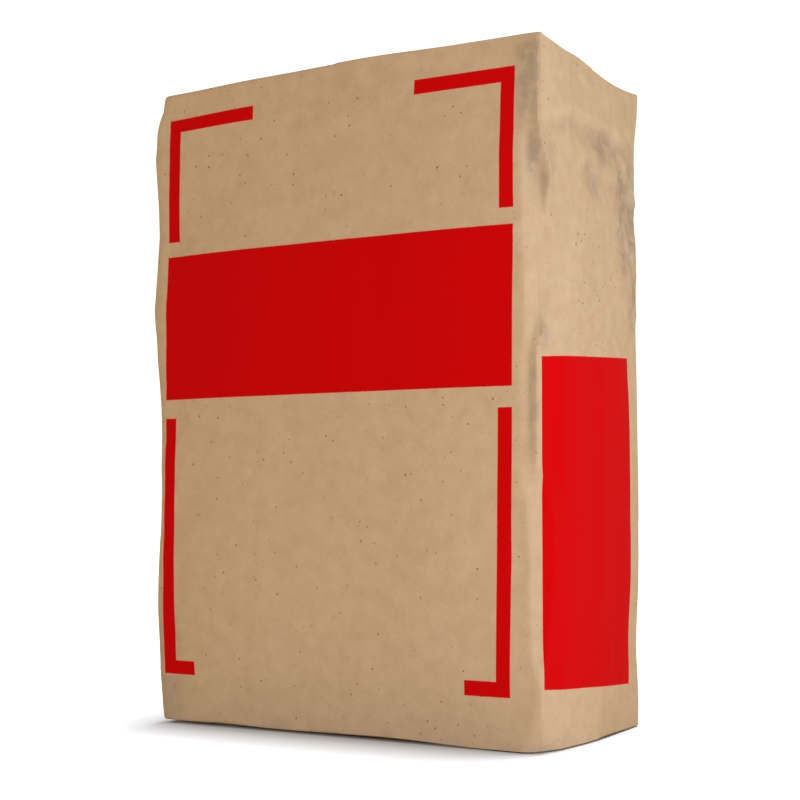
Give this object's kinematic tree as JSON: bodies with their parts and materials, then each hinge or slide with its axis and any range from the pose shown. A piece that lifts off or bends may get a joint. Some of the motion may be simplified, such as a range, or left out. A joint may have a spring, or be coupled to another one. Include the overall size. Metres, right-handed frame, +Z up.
{
  "type": "cement bag",
  "caption": "Block-bottom kraft paper valve sack filled with cement, standing on its folded end, with bare printed panels and corner brackets.",
  "frame": {"origin": "middle of the base, on the floor that the sack stands on", "axes": "+Z up along the sack's height, -Y out of the printed front, +X out of the narrow side that the picture shows, so the valve opens towards -X"},
  "size_m": [0.291, 0.158, 0.4225],
  "materials": {
    "sack_kraft_paper": "dull unbleached kraft paper with sparse dark fibres and flat red printed areas",
    "cover_sheet_paper": "dull unbleached kraft paper, pasted down",
    "valve_sleeve_paper": "dull unbleached kraft paper, pressed flat"
  },
  "bodies": {
    "root": {"filled_sack": "sack_kraft_paper", "top_cover_sheet": "cover_sheet_paper", "base_cover_sheet": "cover_sheet_paper", "valve_sleeve": "valve_sleeve_paper"}
  },
  "joints": []
}
